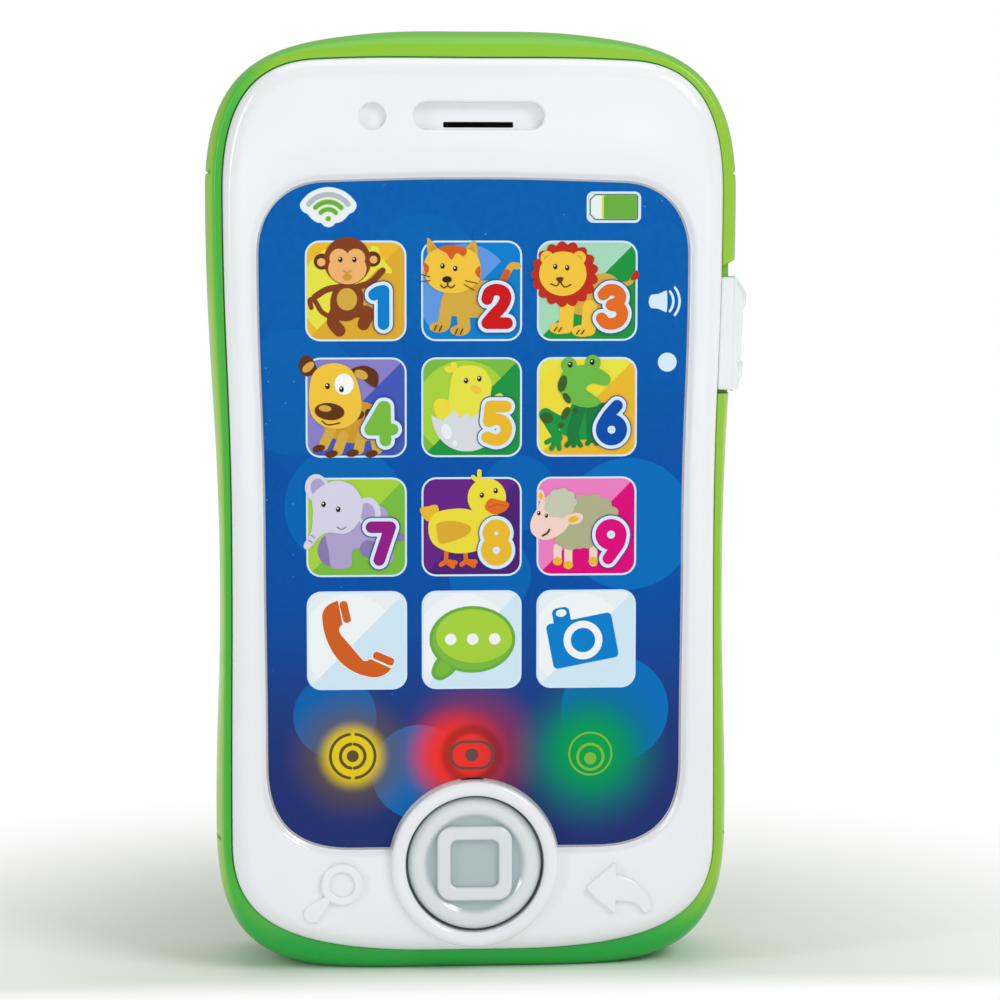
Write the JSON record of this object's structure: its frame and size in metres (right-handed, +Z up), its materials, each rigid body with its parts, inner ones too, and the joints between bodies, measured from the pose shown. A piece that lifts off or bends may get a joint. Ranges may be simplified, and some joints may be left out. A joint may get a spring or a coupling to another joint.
{
  "type": "toy cell phone",
  "caption": "Upright toy cell phone: white front with a printed film screen and a round button, green rear cover, side slide switch and battery door.",
  "frame": {"origin": "centre of the flat standing face at the phone's bottom end", "axes": "+Z up along the phone, +Y from the screen to the back, +X to the right as seen from the front"},
  "size_m": [0.0869, 0.0257, 0.15],
  "materials": {
    "white_shell": "gloss",
    "screen_print": "gloss",
    "green_shell": "satin",
    "grey_button": "satin",
    "silicone": "matte",
    "milky_knob": "gloss",
    "black_plastic": "matte",
    "steel": "satin",
    "circuit_board": "satin",
    "nickel": "satin",
    "cone_paper": "matte",
    "led_yellow": "gloss",
    "led_red": "gloss",
    "led_green": "gloss",
    "wire_black": "satin",
    "wire_red": "satin",
    "cell_sleeve": "satin"
  },
  "bodies": {
    "phone_body": {"front_cover": "white_shell", "screen_film": "screen_print", "rear_cover": "green_shell", "button_dome": "silicone", "slide_switch": "steel", "main_board": "circuit_board", "chip_blob": "black_plastic", "capacitor": "black_plastic", "speaker_basket": "steel", "speaker_magnet": "nickel", "speaker_cone": "cone_paper", "contact_minus": "nickel", "contact_plus": "nickel", "contact_bridge_low": "nickel", "contact_bridge_high": "nickel", "led_yellow": "led_yellow", "led_red": "led_red", "led_green": "led_green", "wire_battery_minus": "wire_black", "wire_battery_plus": "wire_red", "wire_speaker_left": "wire_black", "wire_speaker_right": "wire_red", "cell_1": "cell_sleeve", "contact_spring_1": "nickel", "cell_2": "cell_sleeve", "contact_spring_2": "nickel", "cell_3": "cell_sleeve", "contact_spring_3": "nickel", "housing_screw_1": "steel", "board_screw_1": "steel", "housing_screw_2": "steel", "board_screw_2": "steel", "housing_screw_3": "steel", "board_screw_3": "steel", "housing_screw_4": "steel", "board_screw_4": "steel"},
    "battery_door": {"battery_door": "green_shell"},
    "door_screw": {"door_screw": "steel"},
    "home_button": {"home_button": "grey_button"},
    "switch_slide": {"switch_knob": "milky_knob", "switch_lever": "black_plastic"}
  },
  "joints": [
    {"name": "home_button_press", "type": "slide", "parent": "phone_body", "child": "home_button", "axis": [0, 1, 0], "range_m": [0, 0.0008], "stiffness_N_per_m": 1200, "springref_m": -0.0004, "deforming": ["button_dome"]},
    {"name": "side_switch_slide", "type": "slide", "parent": "phone_body", "child": "switch_slide", "axis": [0, 0, 1], "range_m": [0, 0.0018]},
    {"name": "battery_door_swing", "type": "hinge", "parent": "phone_body", "child": "battery_door", "pos_m": [0, 0.0125, 0.097], "axis": [1, 0, 0], "range_deg": [0, 60]},
    {"name": "door_screw_turn", "type": "hinge", "parent": "battery_door", "child": "door_screw", "pos_m": [0, 0.0116, 0.0345], "axis": [0, 1, 0], "continuous": true}
  ]
}
